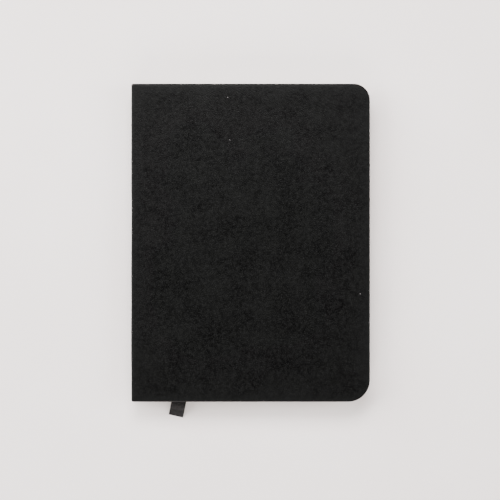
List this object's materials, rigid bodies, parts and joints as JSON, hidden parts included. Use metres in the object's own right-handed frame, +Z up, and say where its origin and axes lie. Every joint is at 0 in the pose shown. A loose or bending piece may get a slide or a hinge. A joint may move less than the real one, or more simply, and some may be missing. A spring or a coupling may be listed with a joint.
{
  "type": "sketchbook",
  "caption": "Closed hard-backed sketchbook with rounded fore-edge corners, sewn gatherings, head and tail bands and a ribbon marker. It opens flat, and its front cover turns back.",
  "frame": {"origin": "bottom centre of the closed book, without its ribbon: the middle of the back cover's outer face", "axes": "+X from the spine to the fore edge, +Y towards the head, +Z up from the back cover to the front cover"},
  "size_m": [0.1524, 0.2154, 0.0184],
  "materials": {
    "leatherette": "matte suede-like leatherette with a fine grain",
    "board": "plain greyboard",
    "endpaper": "matt, heavier than the pages",
    "paper": "matt uncoated drawing paper",
    "thread": "waxed cotton thread",
    "mull": "starched open-weave cotton",
    "lining": "strong brown paper",
    "end_band": "woven band with a rolled bead",
    "ribbon": "matt woven ribbon"
  },
  "bodies": {
    "back_cover": {"back_cover_leatherette": "leatherette", "back_board": "board", "back_pastedown": "endpaper", "back_flyleaf": "endpaper"},
    "spine": {"spine_leatherette": "leatherette", "spine_board": "board"},
    "front_joint": {"front_joint_leatherette": "leatherette", "front_flyleaf": "endpaper"},
    "front_cover": {"front_cover_leatherette": "leatherette", "front_board": "board", "front_pastedown": "endpaper"},
    "gathering_01": {"signature_01": "paper", "sewing_thread_01": "thread"},
    "gathering_02": {"signature_02": "paper", "sewing_thread_02": "thread"},
    "gathering_03": {"signature_03": "paper", "sewing_thread_03": "thread"},
    "gathering_04": {"signature_04": "paper", "sewing_thread_04": "thread"},
    "gathering_05": {"signature_05": "paper", "sewing_thread_05": "thread"},
    "gathering_06": {"signature_06": "paper", "sewing_thread_06": "thread", "mull": "mull", "spine_lining": "lining", "headband": "end_band", "tailband": "end_band", "ribbon_marker": "ribbon", "ribbon_anchor": "ribbon"},
    "gathering_07": {"signature_07": "paper", "sewing_thread_07": "thread"},
    "gathering_08": {"signature_08": "paper", "sewing_thread_08": "thread"},
    "gathering_09": {"signature_09": "paper", "sewing_thread_09": "thread"},
    "gathering_10": {"signature_10": "paper", "sewing_thread_10": "thread"}
  },
  "joints": [
    {"name": "spine_tilt", "type": "hinge", "parent": "back_cover", "child": "spine", "pos_m": [-0.0762, 0, 0], "axis": [0, -1, 0], "range_deg": [0, 90]},
    {"name": "front_joint_bend", "type": "hinge", "parent": "spine", "child": "front_joint", "pos_m": [-0.0762, 0, 0.01844], "axis": [0, -1, 0], "range_deg": [0, 90]},
    {"name": "front_cover_open", "type": "hinge", "parent": "front_joint", "child": "front_cover", "pos_m": [-0.0762, 0, 0.01859], "axis": [0, -1, 0], "range_deg": [0, 180]},
    {"name": "gathering_10_shift", "type": "slide", "parent": "back_cover", "child": "gathering_10", "axis": [-1, 0, 0], "range_m": [0, 0.0022]},
    {"name": "gathering_09_shift", "type": "slide", "parent": "gathering_10", "child": "gathering_09", "axis": [-1, 0, 0], "range_m": [0, 0.0022]},
    {"name": "gathering_08_shift", "type": "slide", "parent": "gathering_09", "child": "gathering_08", "axis": [-1, 0, 0], "range_m": [0, 0.0022]},
    {"name": "gathering_07_shift", "type": "slide", "parent": "gathering_08", "child": "gathering_07", "axis": [-1, 0, 0], "range_m": [0, 0.0022]},
    {"name": "gathering_06_shift", "type": "slide", "parent": "gathering_07", "child": "gathering_06", "axis": [-1, 0, 0], "range_m": [0, 0.0022]},
    {"name": "book_open", "type": "hinge", "parent": "gathering_06", "child": "gathering_05", "pos_m": [-0.074, 0, 0.00922], "axis": [0, -1, 0], "range_deg": [0, 180], "deforming": ["mull", "spine_lining", "headband", "tailband", "ribbon_anchor"]},
    {"name": "gathering_04_shift", "type": "slide", "parent": "gathering_05", "child": "gathering_04", "axis": [1, 0, 0], "range_m": [0, 0.0022]},
    {"name": "gathering_03_shift", "type": "slide", "parent": "gathering_04", "child": "gathering_03", "axis": [1, 0, 0], "range_m": [0, 0.0022]},
    {"name": "gathering_02_shift", "type": "slide", "parent": "gathering_03", "child": "gathering_02", "axis": [1, 0, 0], "range_m": [0, 0.0022]},
    {"name": "gathering_01_shift", "type": "slide", "parent": "gathering_02", "child": "gathering_01", "axis": [1, 0, 0], "range_m": [0, 0.0022]}
  ],
  "couplings": [
    {"joint": "spine_tilt", "follows": "book_open", "ratio": 0.5},
    {"joint": "front_joint_bend", "follows": "book_open", "ratio": 0.5},
    {"joint": "gathering_10_shift", "follows": "book_open", "m_per_rad": 0.00070155},
    {"joint": "gathering_09_shift", "follows": "book_open", "m_per_rad": 0.00070155},
    {"joint": "gathering_08_shift", "follows": "book_open", "m_per_rad": 0.00070155},
    {"joint": "gathering_07_shift", "follows": "book_open", "m_per_rad": 0.00070155},
    {"joint": "gathering_06_shift", "follows": "book_open", "m_per_rad": 0.00070155},
    {"joint": "gathering_04_shift", "follows": "book_open", "m_per_rad": 0.00070155},
    {"joint": "gathering_03_shift", "follows": "book_open", "m_per_rad": 0.00070155},
    {"joint": "gathering_02_shift", "follows": "book_open", "m_per_rad": 0.00070155},
    {"joint": "gathering_01_shift", "follows": "book_open", "m_per_rad": 0.00070155}
  ]
}
